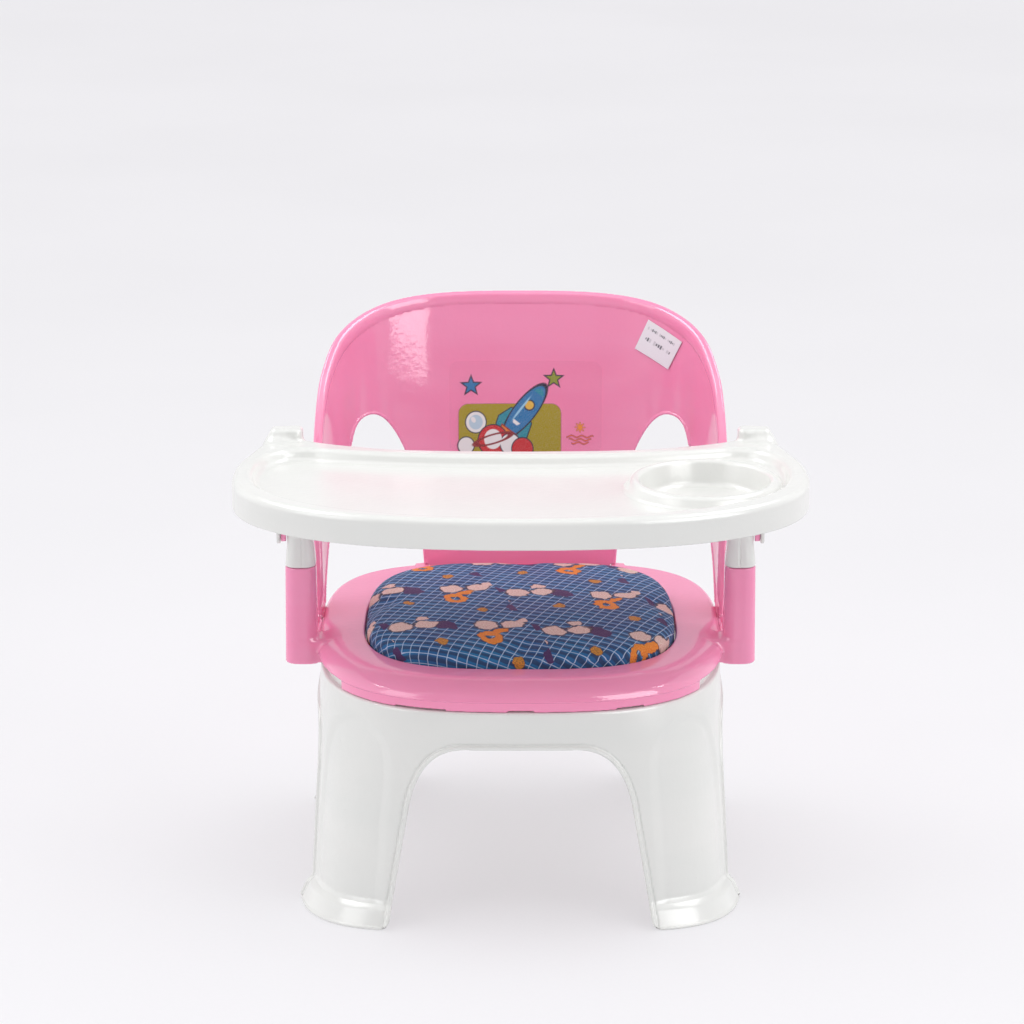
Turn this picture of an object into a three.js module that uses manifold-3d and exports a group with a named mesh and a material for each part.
// A low moulded-plastic chair for a small child: a stool base, a seat ring with a padded
// cushion that squeaks when pressed, a wrap-around backrest and a lift-off tray with a cup holder.
// Millimetres, +Z up. The chair faces -Y and +X is to the right of someone looking at its front.
// Shapes are laid out about the stool's vertical axis, and the whole chair then moves along Y
// so that the origin is under the middle of its bounding box.

import * as THREE from 'three';
import { mergeVertices } from 'three/addons/utils/BufferGeometryUtils.js';
import Module from 'manifold-3d';

const wasm = await Module();
wasm.setup();

// ---------------------------------------------------------------- driving dimensions

const GAP = 0.3; // clearance left between pieces that touch
const WALL = 3; // moulded wall thickness
const RING_STEPS = 48; // facets round each oval

// stool base
const STOOL_TOP = 168.4; // shoulder that carries the seat skirt
const STOOL_LIP_TOP = 178.6; // locating lip inside the seat skirt
const STOOL_ARCH_TOP = 139.5;
const FLANGE_TOP = 16; // where a foot's flange leaves the leg
const ARCH_FOOT_HALF = 99.8; // half width of the front arch at the floor
const SIDE_ARCH_FOOT_HALF = 103;

// seat
const SEAT_TOP = 190;
const SEAT_HALF_WIDTH = 157;
const SEAT_HALF_DEPTH = 162.5;
const SEAT_POWER = 2.8; // superellipse power of the seat outline
const SEAT_REAR_POWER = 3.3; // the rear half has squarer corners
const SEAT_OPENING = { a: 120.8, b: 122.8, power: 3.1, y: 3 };
const PAN_FLOOR = 152; // upper face of the pan under the cushion

// tray post sockets, one each side of the seat
const SOCKET_X = 169;
const SOCKET_Y = -30;
const SOCKET_TOP = 245;
const SOCKET_BOTTOM = 168;
const PLUG_LENGTH = 62; // part of a tray post that sits down in its socket

// backrest
const BACK_FOOT = SEAT_TOP + 0.4;
const BACK_TOP = 413.5;
const BACK_WALL = 3.6;
const BACK_REAR = 185; // rearmost point of the chair, at the backrest's top
const TONGUE_BOTTOM = 184;

// tray
const TRAY_RIM = 332;
const TRAY_SKIRT_BOTTOM = 309.5;
const TRAY_FLOOR = 323;
const TRAY_HALF_WIDTH = 216.5;
const TRAY_FRONT = -212;
const TRAY_WIDEST_Y = -80;
const TRAY_EAR_TOP = 340.5;
const CUP = { x: 137.5, y: -95, radius: 49.6, floor: 313, ring: 10 };

// cushion and the squeaker under it
const CUSHION = { a: 118.8, b: 120.8, power: 3.1, y: 3 };
const CUSHION_TOP = 208;
const BOARD_BOTTOM = 171;
const BOARD_TOP = 175;
const SQUEAKER_RADIUS = 30;

// ---------------------------------------------------------------- materials

function plastic(color, roughness) {
  return new THREE.MeshStandardMaterial({ color, roughness, metalness: 0 });
}

const PINK = plastic(0xee8ab2, 0.22);
const WHITE = plastic(0xf0f1f0, 0.25);
const FABRIC = plastic(0x2d5a86, 0.85);
const BOARD = plastic(0xd8d8d4, 0.6);
const RUBBER = plastic(0xe6ddc8, 0.5);

// ---------------------------------------------------------------- solids

function toSolid(geometry) {
  const clean = geometry.clone();
  clean.deleteAttribute('normal');
  clean.deleteAttribute('uv');
  const merged = mergeVertices(clean, 1e-4);
  const mesh = new wasm.Mesh({
    numProp: 3,
    vertProperties: new Float32Array(merged.attributes.position.array),
    triVerts: new Uint32Array(merged.index.array),
  });
  return new wasm.Manifold(mesh);
}

function toMesh(name, solid, material) {
  const data = solid.getMesh();
  const geometry = new THREE.BufferGeometry();
  geometry.setAttribute('position', new THREE.BufferAttribute(new Float32Array(data.vertProperties), 3));
  geometry.setIndex(new THREE.BufferAttribute(new Uint32Array(data.triVerts), 1));
  geometry.computeVertexNormals();
  const mesh = new THREE.Mesh(geometry, material);
  mesh.name = name;
  return mesh;
}

// Point of the superellipse |x/a|^power + |y/b|^power = 1 at an angle.
function ovalPoint(a, b, power, angle) {
  const c = Math.cos(angle);
  const s = Math.sin(angle);
  const k = 2 / power;
  return new THREE.Vector2(a * Math.sign(c) * Math.abs(c) ** k, b * Math.sign(s) * Math.abs(s) ** k);
}

// Solid through a stack of horizontal ovals, each { z, a, b, power, y }, lowest first.
// A level may give its rear half, the side of +Y, a power of its own.
function ovalLoft(levels) {
  const positions = [];
  const index = [];
  for (const level of levels) {
    for (let i = 0; i < RING_STEPS; i += 1) {
      const power = 2 * i < RING_STEPS ? level.rearPower ?? level.power : level.power;
      const p = ovalPoint(level.a, level.b, power, (2 * Math.PI * i) / RING_STEPS);
      positions.push(p.x, p.y + (level.y ?? 0), level.z);
    }
  }
  for (let k = 0; k + 1 < levels.length; k += 1) {
    for (let i = 0; i < RING_STEPS; i += 1) {
      const j = (i + 1) % RING_STEPS;
      const low = k * RING_STEPS;
      const high = low + RING_STEPS;
      index.push(low + i, low + j, high + j, low + i, high + j, high + i);
    }
  }
  const last = levels.length - 1;
  const bottom = positions.length / 3;
  positions.push(0, levels[0].y ?? 0, levels[0].z);
  positions.push(0, levels[last].y ?? 0, levels[last].z);
  for (let i = 0; i < RING_STEPS; i += 1) {
    const j = (i + 1) % RING_STEPS;
    index.push(bottom, j, i);
    index.push(bottom + 1, last * RING_STEPS + i, last * RING_STEPS + j);
  }
  const geometry = new THREE.BufferGeometry();
  geometry.setAttribute('position', new THREE.Float32BufferAttribute(positions, 3));
  geometry.setIndex(index);
  return toSolid(geometry);
}

// Prism of a plan outline between two heights.
function planPrism(shape, low, high, curveSegments = 12) {
  const depth = high - low;
  const geometry = new THREE.ExtrudeGeometry(shape, { depth, bevelEnabled: false, curveSegments });
  geometry.translate(0, 0, low);
  return toSolid(geometry);
}

// Prism of an outline drawn in X and Z, running along Y between two places.
function frontPrism(shape, near, far, curveSegments = 12) {
  const depth = far - near;
  const geometry = new THREE.ExtrudeGeometry(shape, { depth, bevelEnabled: false, curveSegments });
  geometry.rotateX(Math.PI / 2);
  geometry.translate(0, far, 0);
  return toSolid(geometry);
}

// Prism of an outline drawn in Y and Z, running along X between two places.
function sidePrism(shape, left, right, curveSegments = 12) {
  const depth = right - left;
  const geometry = new THREE.ExtrudeGeometry(shape, { depth, bevelEnabled: false, curveSegments });
  geometry.rotateX(Math.PI / 2);
  geometry.rotateZ(Math.PI / 2);
  geometry.translate(left, 0, 0);
  return toSolid(geometry);
}

function box(x0, x1, y0, y1, z0, z1) {
  const geometry = new THREE.BoxGeometry(x1 - x0, y1 - y0, z1 - z0);
  geometry.translate((x0 + x1) / 2, (y0 + y1) / 2, (z0 + z1) / 2);
  return toSolid(geometry);
}

// Rounded rectangle about a centre, as a plan outline.
function roundedRect(x, y, width, depth, radius) {
  const w = width / 2;
  const d = depth / 2;
  const shape = new THREE.Shape();
  shape.moveTo(x - w + radius, y - d);
  shape.lineTo(x + w - radius, y - d);
  shape.absarc(x + w - radius, y - d + radius, radius, -Math.PI / 2, 0);
  shape.absarc(x + w - radius, y + d - radius, radius, 0, Math.PI / 2);
  shape.absarc(x - w + radius, y + d - radius, radius, Math.PI / 2, Math.PI);
  shape.absarc(x - w + radius, y - d + radius, radius, Math.PI, (3 * Math.PI) / 2);
  return shape;
}

// Solid between two rounded rectangles of different size, one above the other.
function taperedPost(x, y, low, high) {
  const rings = [low, high].map((end) => {
    const outline = roundedRect(x, y, end.width, end.depth, end.radius).extractPoints(5).shape;
    return outline.map((p) => new THREE.Vector3(p.x, p.y, end.z));
  });
  const count = rings[0].length;
  const positions = [];
  for (const ring of rings) {
    ring.forEach((p) => positions.push(p.x, p.y, p.z));
  }
  positions.push(x, y, low.z, x, y, high.z);
  const index = [];
  for (let i = 0; i < count; i += 1) {
    const j = (i + 1) % count;
    index.push(i, j, count + j, i, count + j, count + i);
    index.push(2 * count, j, i, 2 * count + 1, count + i, count + j);
  }
  const geometry = new THREE.BufferGeometry();
  geometry.setAttribute('position', new THREE.Float32BufferAttribute(positions, 3));
  geometry.setIndex(index);
  return toSolid(geometry);
}

function mirrored(solid) {
  return solid.mirror([1, 0, 0]);
}

// ---------------------------------------------------------------- stool base

// Arch through a wall: straight leaning sides, round shoulders and a flat top.
function archShape(footHalf) {
  const kneeZ = 92;
  const kneeHalf = footHalf - 16;
  const flatHalf = footHalf - 58;
  const shape = new THREE.Shape();
  shape.moveTo(-footHalf, -1);
  shape.lineTo(footHalf, -1);
  shape.lineTo(kneeHalf, kneeZ);
  shape.bezierCurveTo(kneeHalf - 5, 121, kneeHalf - 18, STOOL_ARCH_TOP, flatHalf, STOOL_ARCH_TOP);
  shape.lineTo(-flatHalf, STOOL_ARCH_TOP);
  shape.bezierCurveTo(-kneeHalf + 18, STOOL_ARCH_TOP, -kneeHalf + 5, 121, -kneeHalf, kneeZ);
  return shape;
}

function makeStoolBase() {
  const outer = ovalLoft([
    { z: 0, a: 171, b: 175, power: 5.5 },
    { z: 3, a: 171, b: 175, power: 5.5 },
    { z: FLANGE_TOP, a: 161, b: 165.5, power: 5 },
    { z: 93, a: 158, b: 163, power: 3.9 },
    { z: STOOL_TOP, a: 155, b: 160.5, power: SEAT_POWER },
  ]);
  const lip = ovalLoft([
    { z: STOOL_TOP - 5, a: 150.5, b: 156, power: SEAT_POWER },
    { z: STOOL_LIP_TOP, a: 150.5, b: 156, power: SEAT_POWER },
  ]);
  const hollow = ovalLoft([
    { z: -1, a: 165, b: 169, power: 5.5 },
    { z: 3, a: 165, b: 169, power: 5.5 },
    { z: FLANGE_TOP, a: 161 - WALL, b: 165.5 - WALL, power: 5 },
    { z: 93, a: 158 - WALL, b: 163 - WALL, power: 3.9 },
    { z: 160, a: 155 - WALL, b: 160.5 - WALL, power: SEAT_POWER },
    { z: 164, a: 150.5 - WALL, b: 156 - WALL, power: SEAT_POWER },
    { z: STOOL_LIP_TOP + 1, a: 150.5 - WALL, b: 156 - WALL, power: SEAT_POWER },
  ]);
  const frontArch = frontPrism(archShape(ARCH_FOOT_HALF), -200, 200, 6);
  const sideArch = sidePrism(archShape(SIDE_ARCH_FOOT_HALF), -200, 200, 6);
  return outer.add(lip).subtract(hollow).subtract(frontArch).subtract(sideArch);
}

// ---------------------------------------------------------------- seat

function seatLevel(z, inset) {
  return {
    z,
    a: SEAT_HALF_WIDTH - inset,
    b: SEAT_HALF_DEPTH - inset,
    power: SEAT_POWER,
    rearPower: SEAT_REAR_POWER,
  };
}

// Level of the seat's rolled rim. The roll is deepest in front and almost square at the rear.
function rollLevel(z, inset) {
  return {
    z,
    a: SEAT_HALF_WIDTH - 0.6 * inset,
    b: SEAT_HALF_DEPTH - 0.6 * inset,
    power: SEAT_POWER,
    rearPower: SEAT_REAR_POWER,
    y: 0.4 * inset,
  };
}

// Level of the seat's opening, moved outwards by an offset.
function openingLevel(z, offset) {
  const { a, b, power, y } = SEAT_OPENING;
  return { z, a: a + offset, b: b + offset, power, y };
}

// A tray post socket with its short neck to the seat rim, on the +X side.
function makeSocket() {
  const body = taperedPost(
    SOCKET_X,
    SOCKET_Y,
    { z: SOCKET_BOTTOM, width: 25, depth: 28, radius: 10 },
    { z: SOCKET_TOP, width: 23.6, depth: 26.6, radius: 9.5 },
  );
  const neck = box(153, SOCKET_X, SOCKET_Y - 13, SOCKET_Y + 13, 169.5, 186);
  return body.add(neck);
}

function makeSeatShell() {
  const rimEdge = 177;
  const roll = { inset: 22, rise: SEAT_TOP - rimEdge };
  const outerLevels = [seatLevel(STOOL_TOP + GAP, 0.5), seatLevel(rimEdge, 0)];
  for (const turn of [Math.PI / 6, Math.PI / 3, Math.PI / 2]) {
    outerLevels.push(rollLevel(rimEdge + roll.rise * Math.sin(turn), roll.inset * (1 - Math.cos(turn))));
  }
  const outer = ovalLoft(outerLevels);
  const hollow = ovalLoft([
    seatLevel(STOOL_TOP - 1, WALL),
    seatLevel(rimEdge + 3, WALL + 0.5),
    seatLevel(SEAT_TOP - WALL - 1.5, WALL + 12),
    seatLevel(SEAT_TOP - WALL, WALL + 21),
  ]);
  const draft = 2;
  const panOuter = ovalLoft([
    openingLevel(PAN_FLOOR - WALL, WALL - draft),
    openingLevel(SEAT_TOP - 1, WALL),
  ]);
  const panInner = ovalLoft([openingLevel(PAN_FLOOR, -draft), openingLevel(SEAT_TOP + 1, 0)]);
  const socket = makeSocket();
  const well = taperedPost(
    SOCKET_X,
    SOCKET_Y,
    { z: SOCKET_BOTTOM + 4, width: 18.6, depth: 21.6, radius: 7 },
    { z: SOCKET_TOP + 1, width: 18.8, depth: 21.8, radius: 7 },
  );
  const bossLimit = ovalLoft([seatLevel(178, -2.5), seatLevel(SEAT_TOP + 1, -2.5)]);
  const armBoss = planPrism(roundedRect(156.5, 28, 14, 50, 5), 179, SEAT_TOP, 4);
  const armSlot = box(152.8, 160.8, 11.5, 44.5, TONGUE_BOTTOM - 1, SEAT_TOP + 1);
  const bandBoss = box(-86, 86, 143.5, 168, 179, SEAT_TOP).intersect(bossLimit);
  const bandSlot = box(-74.6, 74.6, 148.6, 160.8, TONGUE_BOTTOM - 1, SEAT_TOP + 1);
  return outer
    .subtract(hollow)
    .add(panOuter)
    .add(bandBoss)
    .add(armBoss)
    .add(mirrored(armBoss))
    .add(socket)
    .add(mirrored(socket))
    .subtract(panInner)
    .subtract(well)
    .subtract(mirrored(well))
    .subtract(armSlot)
    .subtract(mirrored(armSlot))
    .subtract(bandSlot);
}

// ---------------------------------------------------------------- backrest

// The wrap-around wall leans outwards as it rises.
function backLevel(z, inset) {
  const rise = (z - SEAT_TOP) / (BACK_TOP - SEAT_TOP);
  return { z, a: 159.5 + 5.8 * rise - inset, b: 160 + (BACK_REAR - 160) * rise - inset, power: 3 };
}

// Side view of the backrest: the front edge climbs from the arm's foot and sweeps back to the top.
function backSideShape() {
  const edge = new THREE.SplineCurve([
    new THREE.Vector2(9, BACK_FOOT),
    new THREE.Vector2(14, 230),
    new THREE.Vector2(25, 272),
    new THREE.Vector2(45, 313),
    new THREE.Vector2(76, 354),
    new THREE.Vector2(98, 373),
    new THREE.Vector2(122, 389.5),
    new THREE.Vector2(160, 405.5),
    new THREE.Vector2(BACK_REAR + 5, BACK_TOP + 1),
  ]);
  const shape = new THREE.Shape(edge.getPoints(24));
  shape.lineTo(BACK_REAR + 5, BACK_FOOT);
  return shape;
}

// Front view of the opening beside the centre band, on the +X side.
function backOpeningFront() {
  const shape = new THREE.Shape();
  shape.moveTo(80.5, BACK_FOOT - 1);
  shape.lineTo(134.5, BACK_FOOT - 1);
  shape.lineTo(134.5, 300);
  shape.quadraticCurveTo(133, 319, 121, 319);
  shape.quadraticCurveTo(108, 319, 94.5, 287.6);
  shape.quadraticCurveTo(82, 250, 80.5, 215);
  return shape;
}

// Side view of the same opening, where it runs forward to the arm.
function backOpeningSide() {
  const shape = new THREE.Shape();
  shape.moveTo(47, BACK_FOOT - 1);
  shape.lineTo(170, BACK_FOOT - 1);
  shape.lineTo(170, 314);
  shape.lineTo(132, 314);
  shape.quadraticCurveTo(122, 296, 100, 268);
  shape.quadraticCurveTo(66, 226, 47, BACK_FOOT);
  return shape;
}

function makeBackrest() {
  const levels = [TONGUE_BOTTOM, 250, 330, BACK_TOP];
  const innerLevels = [TONGUE_BOTTOM - 1, 250, 330, BACK_TOP + 1];
  const wall = ovalLoft(levels.map((z) => backLevel(z, 0)))
    .subtract(ovalLoft(innerLevels.map((z) => backLevel(z, BACK_WALL))));
  const openingFront = frontPrism(backOpeningFront(), 90, 200, 6);
  const openingSide = sidePrism(backOpeningSide(), 134, 180, 6);
  const upper = wall
    .intersect(sidePrism(backSideShape(), -200, 200))
    .subtract(openingFront)
    .subtract(mirrored(openingFront))
    .subtract(openingSide)
    .subtract(mirrored(openingSide));
  const armTongue = wall.intersect(box(150, 165, 13, 43, TONGUE_BOTTOM, BACK_FOOT + 1));
  const bandTongue = wall.intersect(box(-74, 74, 140, 170, TONGUE_BOTTOM, BACK_FOOT + 1));
  return upper.add(armTongue).add(mirrored(armTongue)).add(bandTongue);
}

// ---------------------------------------------------------------- cushion and squeaker

// Level of the cushion, moved inwards by an inset.
function cushionLevel(z, inset) {
  return { z, a: CUSHION.a - inset, b: CUSHION.b - inset, power: CUSHION.power, y: CUSHION.y };
}

function makeCushion() {
  return ovalLoft([
    cushionLevel(BOARD_TOP + GAP, 2),
    cushionLevel(SEAT_TOP + 4, 0.6),
    cushionLevel(SEAT_TOP + 9, 4),
    cushionLevel(SEAT_TOP + 14, 22),
    cushionLevel(SEAT_TOP + 17, 60),
    cushionLevel(CUSHION_TOP, 95),
  ]);
}

function makeCushionBoard() {
  return ovalLoft([cushionLevel(BOARD_BOTTOM, 3), cushionLevel(BOARD_TOP, 3)]);
}

// Ribbed rubber bellows that stands on the pan and is pressed by the cushion board.
function makeSqueaker() {
  const low = PAN_FLOOR + GAP;
  const high = BOARD_BOTTOM - GAP;
  const ribs = 3;
  const profile = [new THREE.Vector2(0, low), new THREE.Vector2(SQUEAKER_RADIUS, low)];
  for (let i = 0; i < ribs; i += 1) {
    const pitch = (high - low) / ribs;
    profile.push(new THREE.Vector2(SQUEAKER_RADIUS - 4, low + pitch * (i + 0.35)));
    profile.push(new THREE.Vector2(SQUEAKER_RADIUS, low + pitch * (i + 1)));
  }
  profile.push(new THREE.Vector2(0, high));
  const geometry = new THREE.LatheGeometry(profile, 32);
  geometry.rotateX(Math.PI / 2);
  geometry.translate(0, CUSHION.y, 0);
  return toSolid(geometry);
}

// ---------------------------------------------------------------- tray

// Plan outline of the tray, moved inwards by an inset. The front is half an oval,
// and the rear corners run back as two wings beside a shallow concave edge.
function trayOutline(inset) {
  const a = TRAY_HALF_WIDTH - inset;
  const b = TRAY_WIDEST_Y - TRAY_FRONT - inset;
  const frontPower = 2.4;
  const steps = 26;
  const front = [];
  for (let i = 0; i <= steps; i += 1) {
    const p = ovalPoint(a, b, frontPower, Math.PI + (Math.PI * i) / steps);
    front.push(new THREE.Vector2(p.x, p.y + TRAY_WIDEST_Y));
  }
  const wing = [
    [214.5, -52], [206, -18], [197.5, 14], [190, 27], [180, 30], [171, 25], [160, 13], [129, -1], [89, -11.5],
  ];
  const wingMiddle = new THREE.Vector2(173, 0);
  const wingEndX = 172; // points nearer the middle than this lie on the concave rear edge
  const right = wing.map(([x, y]) => {
    const point = new THREE.Vector2(x, y);
    const inwards = wingMiddle.clone().sub(point).setLength(inset);
    return point.add(x < wingEndX ? new THREE.Vector2(0, -inset) : inwards);
  });
  const rearCentre = new THREE.Vector2(0, -16 - inset);
  const left = right.map((p) => new THREE.Vector2(-p.x, p.y)).reverse();
  const ends = [front[front.length - 1], ...right, rearCentre, ...left, front[0]];
  const back = new THREE.SplineCurve(ends).getPoints(60).slice(1, -1);
  return new THREE.Shape([...front, ...back]);
}

// Shallow basin in the tray's top, inside a rim about 14 mm wide.
function basinOutline() {
  const shape = new THREE.Shape();
  shape.moveTo(-150, -14);
  shape.bezierCurveTo(-185, -2, -203, -28, -203, -78);
  shape.bezierCurveTo(-203, -160, -110, -201, 0, -201);
  shape.bezierCurveTo(110, -201, 203, -160, 203, -78);
  shape.bezierCurveTo(203, -28, 185, -2, 150, -14);
  shape.quadraticCurveTo(85, -31, 0, -31);
  shape.quadraticCurveTo(-85, -31, -150, -14);
  return shape;
}

function circleShape(x, y, radius) {
  const shape = new THREE.Shape();
  shape.absarc(x, y, radius, 0, 2 * Math.PI);
  return shape;
}

// Raised corner of a wing, on the +X side.
function makeEar() {
  return taperedPost(
    183,
    18,
    { z: TRAY_RIM - 3, width: 26, depth: 20, radius: 9 },
    { z: TRAY_EAR_TOP, width: 20, depth: 16, radius: 7 },
  );
}

// Rib under a wing that holds the lock clip against the post, on the +X side.
function makeClipRib() {
  return box(184.2, 187, SOCKET_Y - 9, SOCKET_Y + 9, 262, TRAY_FLOOR - 1);
}

function makeTray() {
  const outer = planPrism(trayOutline(0), TRAY_SKIRT_BOTTOM, TRAY_RIM);
  const hollow = planPrism(trayOutline(WALL), TRAY_SKIRT_BOTTOM - 1, TRAY_FLOOR - WALL);
  const basin = planPrism(basinOutline(), TRAY_FLOOR, TRAY_RIM + 1, 16);
  const cupWall = planPrism(circleShape(CUP.x, CUP.y, CUP.radius + WALL), CUP.floor - WALL, TRAY_FLOOR, 10);
  const cupRing = planPrism(circleShape(CUP.x, CUP.y, CUP.radius + CUP.ring), TRAY_FLOOR - 1, TRAY_RIM, 10);
  const cupWell = planPrism(circleShape(CUP.x, CUP.y, CUP.radius), CUP.floor, TRAY_RIM + 1, 10);
  const ear = makeEar();
  const rib = makeClipRib();
  return outer
    .subtract(hollow)
    .subtract(basin)
    .add(cupWall)
    .add(cupRing)
    .subtract(cupWell)
    .add(ear)
    .add(mirrored(ear))
    .add(rib)
    .add(mirrored(rib));
}

// White post under a wing, on the +X side: a collar that sits on the socket, with a plug below it.
function makeTrayPost() {
  const shoulder = SOCKET_TOP + GAP;
  const upper = taperedPost(
    SOCKET_X,
    SOCKET_Y,
    { z: 268, width: 20, depth: 23, radius: 8 },
    { z: TRAY_FLOOR - WALL - GAP, width: 20, depth: 23, radius: 8 },
  );
  const collar = taperedPost(
    SOCKET_X,
    SOCKET_Y,
    { z: shoulder, width: 23.6, depth: 26.6, radius: 9.5 },
    { z: 268, width: 20, depth: 23, radius: 8 },
  );
  const plug = taperedPost(
    SOCKET_X,
    SOCKET_Y,
    { z: shoulder - PLUG_LENGTH, width: 15, depth: 18, radius: 6 },
    { z: shoulder + 1, width: 17.6, depth: 20.6, radius: 6.5 },
  );
  return upper.add(collar).add(plug);
}

// Pink clip between the rib and the post, on the +X side.
function makeLockClip() {
  return box(179.8, 183.9, SOCKET_Y - 7, SOCKET_Y + 7, 263.5, TRAY_FLOOR - WALL - GAP);
}

// ---------------------------------------------------------------- assembly

const chair = new THREE.Group();
chair.position.y = -(TRAY_FRONT + BACK_REAR) / 2;

chair.add(toMesh('stool_base', makeStoolBase(), WHITE));
chair.add(toMesh('seat_shell', makeSeatShell(), PINK));
chair.add(toMesh('backrest', makeBackrest(), PINK));
chair.add(toMesh('seat_cushion', makeCushion(), FABRIC));
chair.add(toMesh('cushion_board', makeCushionBoard(), BOARD));
chair.add(toMesh('squeaker', makeSqueaker(), RUBBER));
chair.add(toMesh('tray', makeTray(), WHITE));

const trayPost = makeTrayPost();
chair.add(toMesh('tray_post_right', trayPost, WHITE));
chair.add(toMesh('tray_post_left', mirrored(trayPost), WHITE));

const lockClip = makeLockClip();
chair.add(toMesh('lock_clip_right', lockClip, PINK));
chair.add(toMesh('lock_clip_left', mirrored(lockClip), PINK));

export default chair;
